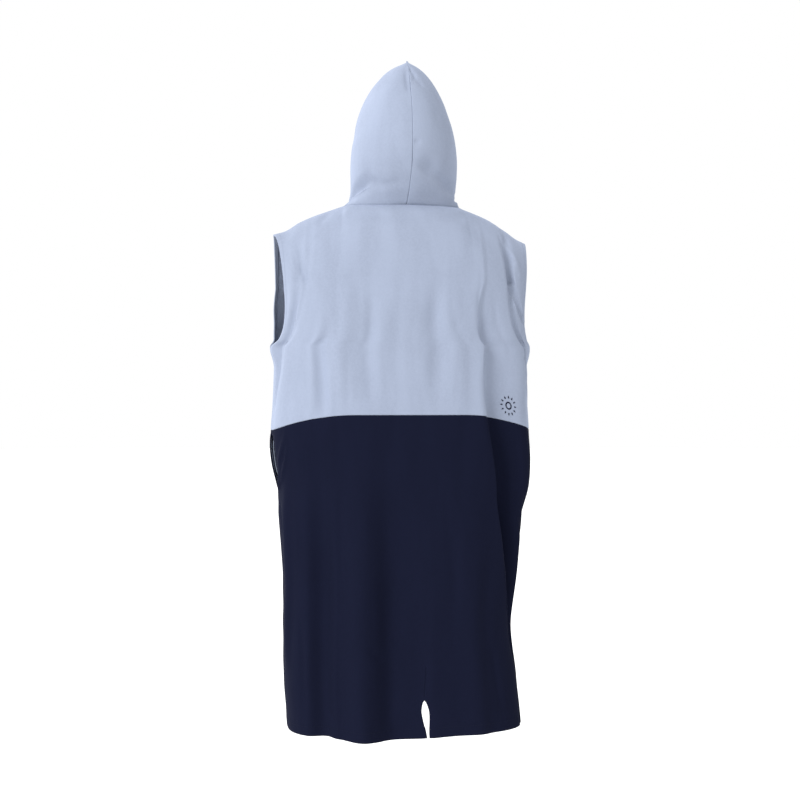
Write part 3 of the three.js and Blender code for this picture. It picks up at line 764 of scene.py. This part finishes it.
class Look:
    """A material under construction: its node tree, and short ways to add nodes to it."""

    def __init__(self, name):
        self.material = bpy.data.materials.new(name)
        self.material.use_nodes = True
        self.tree = self.material.node_tree
        self.tree.nodes.clear()

    def node(self, kind, settings=None, **inputs):
        node = self.tree.nodes.new(kind)
        for key, value in (settings or {}).items():
            setattr(node, key, value)
        for key, value in inputs.items():
            self.feed(node.inputs[key.replace("_", " ")], value)
        return node

    def feed(self, socket, value):
        if isinstance(value, Number):
            value = value.socket
        if isinstance(value, bpy.types.NodeSocket):
            self.tree.links.new(value, socket)
        else:
            socket.default_value = value

    def math(self, operation, a, b):
        node = self.node("ShaderNodeMath", {"operation": operation})
        self.feed(node.inputs[0], a)
        self.feed(node.inputs[1], b)
        return Number(self, node.outputs[0])

    def blend(self, factor, a, b):
        node = self.node("ShaderNodeMix", {"data_type": "RGBA"})
        self.feed(node.inputs[0], factor)
        self.feed(node.inputs[6], a)
        self.feed(node.inputs[7], b)
        return node.outputs[2]

    def stretched(self, place, factors):
        node = self.node("ShaderNodeVectorMath", {"operation": "MULTIPLY"})
        self.feed(node.inputs[0], place)
        self.feed(node.inputs[1], factors)
        return node.outputs[0]

    def noise(self, place, scale, detail=2.0, rough=0.5):
        inputs = dict(Vector=place, Scale=scale, Detail=detail, Roughness=rough)
        node = self.node("ShaderNodeTexNoise", **inputs)
        return Number(self, node.outputs[0])

    def between(self, value, low, high):
        """0 below low, 1 above high, smooth between."""
        settings = {"interpolation_type": "SMOOTHSTEP"}
        node = self.node("ShaderNodeMapRange", settings, Value=value, From_Min=low, From_Max=high)
        return Number(self, node.outputs[0])

    def finish(self, colour, bump, distance, strength, **constants):
        shader = self.node("ShaderNodeBsdfPrincipled")
        self.feed(shader.inputs["Base Color"], colour)
        relief = self.node("ShaderNodeBump", None, Height=bump, Distance=distance, Strength=strength)
        self.feed(shader.inputs["Normal"], relief.outputs[0])
        for key, value in constants.items():
            shader.inputs[key.replace("_", " ")].default_value = value
        output = self.node("ShaderNodeOutputMaterial")
        self.tree.links.new(shader.outputs[0], output.inputs[0])
        return self.material


def shade(colour, factor):
    return (*[min(channel * factor, 1) for channel in colour[:3]], 1)


def velour(name, colour, gloss):
    """The clipped pile outside: matt, with soft brushed patches and a short nap."""
    look = Look(name)
    place = look.node("ShaderNodeTexCoord").outputs["Object"]
    strokes = look.stretched(place, (1.0, 1.0, 0.22))
    brushed = look.between(look.noise(strokes, 24, 3), 0.3, 0.7)
    mottled = look.noise(place, 210, 3, 0.6)
    nap = look.noise(place, 1100, 2, 0.6)
    tone = look.blend(brushed, shade(colour, 0.95), shade(colour, 1.05))
    tone = look.blend(look.between(mottled, 0.35, 0.65), tone, look.blend(0.3, tone, shade(colour, 1.12)))
    pile = look.blend(look.between(nap, 0.3, 0.7), look.blend(0.06, tone, (0, 0, 0, 1)), tone)
    height = mottled * 0.5 + nap * 0.5
    return look.finish(
        pile, height, 0.0005, 0.2,
        Roughness=0.92, Sheen_Weight=gloss, Sheen_Roughness=0.45, Sheen_Tint=shade(colour, 2.2),
        Specular_IOR_Level=gloss * 0.4,
    )


def loops(name, colour):
    """The looped pile inside: small standing loops, with painted shade darkening the gaps between them."""
    look = Look(name)
    place = look.node("ShaderNodeUVMap", {"uv_map": "cloth"}).outputs[0]
    wander = look.noise(place, 300, 2)
    pile = look.node("ShaderNodeTexVoronoi", {"feature": "F1"}, Vector=place, Scale=620.0, Randomness=0.9)
    shaded_gap = look.between(Number(look, pile.outputs["Distance"]), 0.3, 0.9)
    bright = look.between(wander, 0.35, 0.7)
    tone = look.blend(bright, shade(colour, 1.35), shade(colour, 1.75))
    # Painted shade: the gaps between loops are darker than the loops' lit tops.
    tone = look.blend(shaded_gap, tone, shade(colour, 0.95))
    height = 1 - shaded_gap
    return look.finish(
        tone, height, 0.0012, 0.5,
        Roughness=0.95, Sheen_Weight=0.2, Sheen_Roughness=0.5, Sheen_Tint=shade(colour, 1.8),
        Specular_IOR_Level=0.1,
    )


def knit(name, colour):
    """Thin knitted cloth for the pocket bags."""
    look = Look(name)
    place = look.node("ShaderNodeUVMap", {"uv_map": "cloth"}).outputs[0]
    settings = {"bands_direction": "X"}
    wave = look.node("ShaderNodeTexWave", settings, Vector=place, Scale=160.0, Distortion=1.0)
    rib = Number(look, wave.outputs[1])
    tone = look.blend(rib, shade(colour, 0.88), shade(colour, 1.04))
    return look.finish(tone, rib, 0.0006, 0.4, Roughness=0.85, Specular_IOR_Level=0.2)


def thread(name, colour):
    """Twisted sewing thread."""
    look = Look(name)
    place = look.node("ShaderNodeTexCoord").outputs["Object"]
    twist = look.noise(place, 1500, 2)
    tone = look.blend(twist, shade(colour, 0.8), shade(colour, 1.15))
    return look.finish(tone, twist, 0.0003, 0.4, Roughness=0.8, Specular_IOR_Level=0.1)


class ClothSizes(bpy.types.PropertyGroup):
    """Sizes and colours of the cloth."""

    thick: bpy.props.FloatProperty(
        name="Cloth thickness", description="Thickness of the towelling", default=0.0022, unit="LENGTH"
    )
    spacing: bpy.props.FloatProperty(
        name="Mesh spacing", description="Distance between the cloth's columns and rows",
        default=0.0038, unit="LENGTH",
    )
    pale: bpy.props.FloatVectorProperty(
        name="Pale cloth", description="Colour of the upper body and hood",
        default=(0.245, 0.28, 0.365), subtype="COLOR", size=3,
    )
    dark: bpy.props.FloatVectorProperty(
        name="Dark cloth", description="Colour of the lower body", default=(0.0055, 0.0068, 0.0178),
        subtype="COLOR", size=3,
    )


class StitchSizes(bpy.types.PropertyGroup):
    """Sizes of the stitching."""

    pitch: bpy.props.FloatProperty(
        name="Stitch pitch", description="Distance from stitch to stitch", default=0.0036, unit="LENGTH"
    )
    length: bpy.props.FloatProperty(
        name="Stitch length", description="Length of the thread that shows", default=0.0028, unit="LENGTH"
    )
    width: bpy.props.FloatProperty(
        name="Thread width", description="Width of the sewing thread", default=0.0007, unit="LENGTH"
    )


class StudioSizes(bpy.types.PropertyGroup):
    """Camera and studio."""

    distance: bpy.props.FloatProperty(
        name="Camera distance", description="From the garment's axis", default=3.2, unit="LENGTH"
    )
    height: bpy.props.FloatProperty(
        name="Camera height", description="Above the neck; below 0 is lower", default=-0.394, unit="LENGTH"
    )
    azimuth: bpy.props.FloatProperty(
        name="Camera azimuth", description="0 looks along +Y", default=math.radians(-9), subtype="ANGLE"
    )
    lens: bpy.props.FloatProperty(
        name="Lens", description="Focal length on a 36 mm sensor, in millimetres", default=70.2
    )
    floor: bpy.props.FloatProperty(
        name="Floor height", description="Where a standing wearer's floor lies",
        default=-1.42, unit="LENGTH",
    )


def surface_of(face):
    return back_points if face < 0 else front_points


def relief_of(face):
    return partial(body_relief, face)


front_relief = relief_of(1)


def never(across, level):
    """0 everywhere: no hem along these ends."""
    return 0 * across


def on_armhole(across, level):
    """1 on the armhole, 0 on the side seam, and part of each where one turns into the other."""
    return 1 - smooth((level - UNDERARM + 10) / 14)


class PONCHO_OT_body(bpy.types.Operator):
    """Cut and hang the back and front: pale above the colour seam, dark below it"""

    bl_idname = "poncho.body"
    bl_label = "Body"

    def execute(self, context):
        sizes = context.scene.poncho_cloth
        spacing = sizes.spacing / MM
        pale = [velour("pale_velour", sizes.pale, 0.3), loops("pale_loops", sizes.pale)]
        dark = [velour("dark_velour", sizes.dark, 0.08), loops("dark_loops", sizes.dark)]
        wide = HALF_PANEL
        hems = [-wide + ARMHOLE_HEM, wide - ARMHOLE_HEM]
        fold = [SIDE_FOLD_AT_REST * wide, SIDE_FOLD_AT_REST * wide + 8]
        even = spaced(-wide, wide, spacing, fine=hems, near=4) / wide
        with_fold = spaced(-wide, wide, spacing, fine=[hems[0], *fold, hems[1]], near=4) / wide
        thick = sizes.thick / MM

        armhole_edge = Edge(ROLL, ARMHOLE_HEM)
        seam_edge = Edge(SEAM_ROLL, SEAM_CLOTH)
        neck_edge = Edge(NECK_ROLL, SEAM_CLOTH, NECK_TUCK)
        upper = Lines(spaced(0, COLOUR_SEAM, spacing), 1, neck_edge, seam_edge)
        for name, face, places in (("back_upper", -1, with_fold), ("front_upper", 1, even)):
            columns = Lines(places, 1 / wide, armhole_edge, armhole_edge)
            mesh = cloth_piece(columns, upper, surface_of(face), relief_of(face), on_armhole, never)
            piece = finished(name + "_cloth", mesh, name, pale, thick)

        down = spaced(COLOUR_SEAM, HEM, spacing, fine=[HEM - HEM_WIDE], near=4)
        lower = Lines(down, 1, seam_edge, Edge(ROLL, HEM_WIDE))
        side_edge = Edge(POCKET_ROLL, SEAM_CLOTH)
        columns = Lines(even, 1 / wide, side_edge, side_edge)
        mesh = cloth_piece(columns, lower, front_points, front_relief, turned_at_pocket, turned_at_hem)
        piece = finished("front_lower_cloth", mesh, "front_lower", dark, thick)
        self.vented_back(with_fold, lower, dark, thick)
        return {"FINISHED"}

    def vented_back(self, columns, lower, materials, thick):
        """The lower back: two grids that meet on the vent's line, sewn into one above the vent."""
        whole = bmesh.new()
        side_seam = Edge(SEAM_ROLL, SEAM_CLOTH)
        for half, chosen in ((-1, columns < VENT.across), (1, columns > VENT.across)):
            places = np.sort(np.append(columns[chosen], VENT.across))
            edges = (side_seam, None) if half < 0 else (None, side_seam)
            mesh = cloth_piece(
                Lines(places, 1 / HALF_PANEL, *edges), lower,
                partial(back_points, half=half), vented_relief, never, turned_at_hem,
            )
            part = bpy.data.meshes.new("half")
            mesh.to_mesh(part)
            mesh.free()
            whole.from_mesh(part)
            bpy.data.meshes.remove(part)
        bmesh.ops.remove_doubles(whole, verts=whole.verts, dist=1e-5)
        piece = finished("back_lower_cloth", whole, "back_lower", materials, thick)


def turned_at_pocket(across, level):
    """1 along a pocket's mouth, 0 on the side seam above and below it."""
    return smooth((level - POCKET.top - 2) / 8) * smooth((POCKET.bottom - 2 - level) / 8)


def turned_at_hem(across, level):
    """1 at the hem, 0 at the colour seam."""
    return np.where(level > (COLOUR_SEAM + HEM) / 2, 1.0, 0.0)


def vented_relief(across, level, points):
    """The lower back's relief: the vent's edges roll in a little."""
    near = np.exp(-(((across - VENT.across) * HALF_PANEL / 3) ** 2))
    return body_relief(-1, across, level, points) - 1.6 * near * smooth((level - VENT.top) / 12)


def at_face(share, row):
    """1 at the hood's face edge, 0 at its centre seam."""
    return np.where(share > 0.5, 1.0, 0.0)


class PONCHO_OT_hood(bpy.types.Operator):
    """Sew the two halves of the hood"""

    bl_idname = "poncho.hood"
    bl_label = "Hood"

    def execute(self, context):
        sizes = context.scene.poncho_cloth
        materials = [bpy.data.materials["pale_velour"], bpy.data.materials["pale_loops"]]
        spacing = 0.85 * sizes.spacing / MM
        round_steps = spaced(0, HOOD_ROUND, spacing, fine=[HOOD_ROUND - FACE_HEM], near=4)
        row_steps = spaced(0, HOOD_TOP * HOOD_ROW, spacing)
        seam_edge = Edge(SEAM_ROLL, SEAM_CLOTH)
        neck_edge = Edge(NECK_ROLL, SEAM_CLOTH, NECK_TUCK)
        columns = Lines(round_steps / HOOD_ROUND, 1 / HOOD_ROUND, seam_edge, Edge(ROLL, FACE_HEM))
        rows = Lines(row_steps / HOOD_ROW, 1 / HOOD_ROW, neck_edge, seam_edge)
        for side, name in ((-1, "hood_left"), (1, "hood_right")):
            shape = (partial(hood_points, side), partial(hood_relief, side))
            mesh = cloth_piece(columns, rows, *shape, at_face, never, settle=0.5)
            piece = finished(name + "_cloth", mesh, name, materials, sizes.thick / MM)
        return {"FINISHED"}


# The size that a pocket bag is cut to before it is folded, in metres. Then, in millimetres, how thick its
# cloth is and how far it lies behind the front's face.
POCKET_CLOTH = 1.1
POCKET_DEPTH = 3.2


class PONCHO_OT_pockets(bpy.types.Operator):
    """Sew the two pocket bags to the inside of the front"""

    bl_idname = "poncho.pockets"
    bl_label = "Pockets"

    def execute(self, context):
        sizes = context.scene.poncho_cloth
        materials = [knit("pale_knit", sizes.pale)]
        run = np.linspace(1, 0, 44)
        folded = np.concatenate([run, run[::-1]])
        layer = np.repeat([1.0, 0.0], len(run))
        levels = np.linspace(POCKET.top, POCKET.low, 58)
        for side, name in ((-1, "pocket_bag_left"), (1, "pocket_bag_right")):
            mesh, column, row = new_grid(len(folded), len(levels))
            run_in, level = folded[column], levels[row]
            reach = 0.975 + (0.008 + 0.014 * layer[column]) * turned_at_pocket(run_in, level)
            share = mix(POCKET.inner, reach, run_in)
            middle = np.sin(np.pi * (share - POCKET.inner) / (1 - POCKET.inner))
            height = np.sin(np.pi * (level - POCKET.top) / (POCKET.low - POCKET.top))
            gape = np.maximum(middle * height, 0) * POCKET.hollow + mouth_at(level) * POCKET_MOUTH.gape
            depth = POCKET_DEPTH + layer[column] * (2 * POCKET_CLOTH + 0.5 + gape)
            points, outward = laid_on(front_points, front_relief, side * share, level, *BODY_STEP)
            points = points - outward * depth[:, None]
            lay_out(mesh, points, column * 0.004, level * MM, side > 0)
            piece = finished(name + "_cloth", mesh, name, materials, POCKET_CLOTH)
            piece.modifiers["wall"].material_offset = 0
        return {"FINISHED"}


class StitchedLine:
    """Stitches laid along a line of points on the cloth, each a short round length of thread."""

    def __init__(self, sizes):
        self.whole = bmesh.new()
        self.mesh = bmesh.new()
        self.pitch = sizes.pitch
        self.length = sizes.length
        self.width = sizes.width

    def close_row(self):
        """Add the row that was just sewn to the rest."""
        data = bpy.data.meshes.new("row")
        self.mesh.to_mesh(data)
        self.whole.from_mesh(data)
        bpy.data.meshes.remove(data)
        self.mesh.clear()

    def stitch(self, start, end, normal, width=None):
        """One stitch between two points, in metres."""
        along = end - start
        length = along.length
        along.normalize()
        sideways = normal.cross(along).normalized()
        up = along.cross(sideways)
        turn = Matrix((along, sideways, up)).transposed().to_4x4()
        half = (width or self.width) / 2
        shape = Matrix.Diagonal((length / 2, half, half * 0.8, 1))
        place = Matrix.Translation((start + end) / 2 + normal * half * 0.4)
        matrix = place @ turn @ shape
        bmesh.ops.create_uvsphere(self.mesh, u_segments=6, v_segments=5, radius=1, matrix=matrix)

    def row(self, points, normals):
        """Stitches at an even pitch along a row of points, in millimetres."""
        lengths = np.linalg.norm(np.diff(points, axis=0), axis=1) * MM
        run = np.concatenate([[0], np.cumsum(lengths)])
        count = int(run[-1] / self.pitch)
        starts = np.linspace(0, run[-1] - self.pitch, count)
        for start in starts:
            ends = []
            for place in (start, start + self.length):
                at = [np.interp(place, run, points[:, axis]) * MM for axis in range(3)]
                ends.append(Vector(at))
            normal = Vector([np.interp(start, run, normals[:, axis]) for axis in range(3)]).normalized()
            self.stitch(ends[0], ends[1], normal)
        self.close_row()

    def finish(self, name, slot, material):
        self.close_row()
        self.mesh.free()
        for face in self.whole.faces:
            face.smooth = True
        return finished(name, self.whole, None, [material], 0)


# How far to each side the cloth's direction is read, on the body and on the hood.
BODY_STEP = (0.002, 0.5)
HOOD_STEP = (0.002, 0.02)


def laid_on(surface, relief, u, v, step_u, step_v):
    """Points of the finished cloth and its outward normals, for what is sewn on it."""
    points = surface(u, v)
    along_u = surface(u + step_u, v) - surface(u - step_u, v)
    along_v = surface(u, v + step_v) - surface(u, v - step_v)
    normal, _ = outward_normals(points, along_u, along_v)
    return points + normal * relief(u, v, points)[:, None], normal


class PONCHO_OT_stitching(bpy.types.Operator):
    """Sew the rows of stitches along the hems, the neck and the pocket mouths"""

    bl_idname = "poncho.stitching"
    bl_label = "Stitching"

    def execute(self, context):
        sizes = context.scene.poncho_stitch
        cloth = context.scene.poncho_cloth
        pale_line = StitchedLine(sizes)
        dark_line = StitchedLine(sizes)
        edge = 1 - ARMHOLE_HEM / HALF_PANEL
        beside_vent = ((-0.99, VENT.across - 0.03), (VENT.across + 0.03, 0.99))
        for face in (-1, 1):
            cloth_here = (surface_of(face), relief_of(face))
            across = np.linspace(-0.99, 0.99, 260)
            for low, high in beside_vent if face < 0 else ((-0.99, 0.99),):
                part = across[(across >= low) & (across <= high)]
                dark_line.row(*laid_on(*cloth_here, part, 0 * part + HEM - HEM_WIDE, *BODY_STEP))
            level = np.linspace(10, UNDERARM - 8, 120)
            for side in (-1, 1):
                pale_line.row(*laid_on(*cloth_here, 0 * level + side * edge, level, *BODY_STEP))
            neck = np.linspace(-NECK.share, NECK.share, 120)
            pale_line.row(*laid_on(*cloth_here, neck, 0 * neck + 6, *BODY_STEP))
        mouth = np.linspace(POCKET.top + 2, POCKET.bottom - 2, 40)
        rows = np.linspace(0.25, 9.6, 160)
        shares = np.linspace(0.02, 0.98, 120)
        for side in (-1, 1):
            dark_line.row(*laid_on(front_points, front_relief, 0 * mouth + side * 0.978, mouth, *BODY_STEP))
            cloth_here = (partial(hood_points, side), partial(hood_relief, side))
            face_edge = 0 * rows + 1 - FACE_HEM / HOOD_ROUND
            pale_line.row(*laid_on(*cloth_here, face_edge, rows, *HOOD_STEP))
            pale_line.row(*laid_on(*cloth_here, shares, 0 * shares + 0.2, *HOOD_STEP))
        pale_line.finish("pale_stitches", "pale_towelling", thread("pale_thread", cloth.pale))
        dark_line.finish("dark_stitches", "dark_towelling", thread("dark_thread", shade(cloth.dark, 1.2)))
        return {"FINISHED"}


MOTIF = SimpleNamespace(across=0.678, level=394, disc=7.5, ring=10.5, ray_from=13, ray_to=19, rays=12)


class PONCHO_OT_motif(bpy.types.Operator):
    """Embroider a plain small sun in dark thread beside the deep fold"""

    bl_idname = "poncho.motif"
    bl_label = "Stitched sun"

    def execute(self, context):
        sizes = context.scene.poncho_stitch
        cloth = context.scene.poncho_cloth
        line = StitchedLine(sizes)
        ends = back_points(MOTIF.across + np.array([-0.01, 0.01]), np.array([MOTIF.level] * 2))
        per_mm = 0.02 / np.linalg.norm(ends[1] - ends[0])

        def place(radius, angle):
            u = np.array([MOTIF.across + radius * math.sin(angle) * per_mm])
            v = np.array([MOTIF.level - radius * math.cos(angle)])
            points, normals = laid_on(back_points, relief_of(-1), u, v, *BODY_STEP)
            return Vector(points[0]) * MM, Vector(normals[0])

        for angle in np.linspace(0, 2 * math.pi, 44, endpoint=False):
            start, normal = place(MOTIF.disc - 3.2, angle)
            end, _ = place(MOTIF.disc, angle + 0.05)
            line.stitch(start, end, normal, 0.0011)
        for angle in np.linspace(0, 2 * math.pi, MOTIF.rays, endpoint=False):
            for spread in (-0.07, 0, 0.07):
                start, normal = place(MOTIF.ray_from, angle + spread)
                end, _ = place(MOTIF.ray_to - abs(spread) * 22, angle + spread * 0.5)
                line.stitch(start, end, normal, 0.0013)
        line.finish("stitched_sun", "dark_towelling", thread("motif_thread", shade(cloth.dark, 1.3)))
        return {"FINISHED"}


# The soft lights: name, strength, width in degrees and the way that the light goes.
SUNS = (
    ("key", 3.0, 24, (0.82, 0.7, -0.54)),
    ("fill", 1.9, 30, (0.75, -0.85, -0.5)),
)


class PONCHO_OT_studio(bpy.types.Operator):
    """Set the plain pale floor, the soft lights and the camera"""

    bl_idname = "poncho.studio"
    bl_label = "Studio"

    def execute(self, context):
        sizes = context.scene.poncho_studio
        self.floor(sizes)
        self.lights()
        self.camera(context, sizes)
        return {"FINISHED"}

    def floor(self, sizes):
        mesh = bmesh.new()
        bmesh.ops.create_circle(mesh, cap_ends=True, segments=64, radius=30)
        bmesh.ops.translate(mesh, verts=mesh.verts, vec=(0, 0, sizes.floor))
        data = bpy.data.meshes.new("floor")
        mesh.to_mesh(data)
        mesh.free()
        look = Look("studio_floor")
        grain = look.noise(look.node("ShaderNodeTexCoord").outputs["Object"], 3, 2)
        tone = look.blend(grain, (0.9, 0.9, 0.9, 1), (0.92, 0.92, 0.92, 1))
        data.materials.append(look.finish(tone, grain, 0.0005, 0.05, Roughness=0.9, Specular_IOR_Level=0.1))
        floor = bpy.data.objects.new("floor", data)
        bpy.context.collection.objects.link(floor)

    def lights(self):
        """A broad soft key light high on the left, a weaker one on the front, and a white room."""
        for name, energy, angle, direction in SUNS:
            light = bpy.data.lights.new(name, "SUN")
            light.energy = energy
            light.angle = math.radians(angle)
            holder = bpy.data.objects.new(name, light)
            holder.rotation_euler = Vector(direction).to_track_quat("-Z", "Y").to_euler()
            bpy.context.collection.objects.link(holder)
        world = bpy.data.worlds.new("white_room")
        world.use_nodes = True
        background = world.node_tree.nodes["Background"]
        background.inputs["Color"].default_value = (1, 1, 1, 1)
        background.inputs["Strength"].default_value = 1.0
        bpy.context.scene.world = world

    def camera(self, context, sizes):
        lens = bpy.data.cameras.new("camera")
        lens.lens = sizes.lens
        lens.sensor_width = 36
        lens.shift_x = -1.5 / 800
        holder = bpy.data.objects.new("camera", lens)
        out = sizes.distance * math.sin(sizes.azimuth)
        back = -sizes.distance * math.cos(sizes.azimuth)
        holder.location = (out, back, sizes.height)
        holder.rotation_euler = (math.pi / 2, 0, sizes.azimuth)
        context.collection.objects.link(holder)
        context.scene.camera = holder
        context.scene.view_settings.view_transform = "Standard"


class PONCHO_PT_sidebar(bpy.types.Panel):
    """Lists the poncho's sizes and steps"""

    bl_idname = "PONCHO_PT_sidebar"
    bl_label = "Poncho"
    bl_space_type = "VIEW_3D"
    bl_region_type = "UI"
    bl_category = "Poncho"

    def draw(self, context):
        layout = self.layout
        for name, operators in STEPS.items():
            group = getattr(context.scene, name)
            box = layout.box()
            for key in group.bl_rna.properties.keys():
                if key not in {"rna_type", "name"}:
                    box.prop(group, key)
            for operator in operators:
                box.operator(operator.bl_idname)


GROUPS = {"poncho_cloth": ClothSizes, "poncho_stitch": StitchSizes, "poncho_studio": StudioSizes}
STEPS = {
    "poncho_cloth": (PONCHO_OT_body, PONCHO_OT_hood, PONCHO_OT_pockets),
    "poncho_stitch": (PONCHO_OT_stitching, PONCHO_OT_motif),
    "poncho_studio": (PONCHO_OT_studio,),
}


def register():
    for name, group in GROUPS.items():
        bpy.utils.register_class(group)
        setattr(bpy.types.Scene, name, bpy.props.PointerProperty(type=group))
    for operators in STEPS.values():
        for operator in operators:
            bpy.utils.register_class(operator)
    bpy.utils.register_class(PONCHO_PT_sidebar)


def unregister():
    bpy.utils.unregister_class(PONCHO_PT_sidebar)
    for operators in STEPS.values():
        for operator in operators:
            bpy.utils.unregister_class(operator)
    for name, group in GROUPS.items():
        delattr(bpy.types.Scene, name)
        bpy.utils.unregister_class(group)


def main():
    register()
    bpy.ops.poncho.body()
    bpy.ops.poncho.hood()
    bpy.ops.poncho.pockets()
    bpy.ops.poncho.stitching()
    bpy.ops.poncho.motif()
    bpy.ops.poncho.studio()


if __name__ == "__main__":
    main()
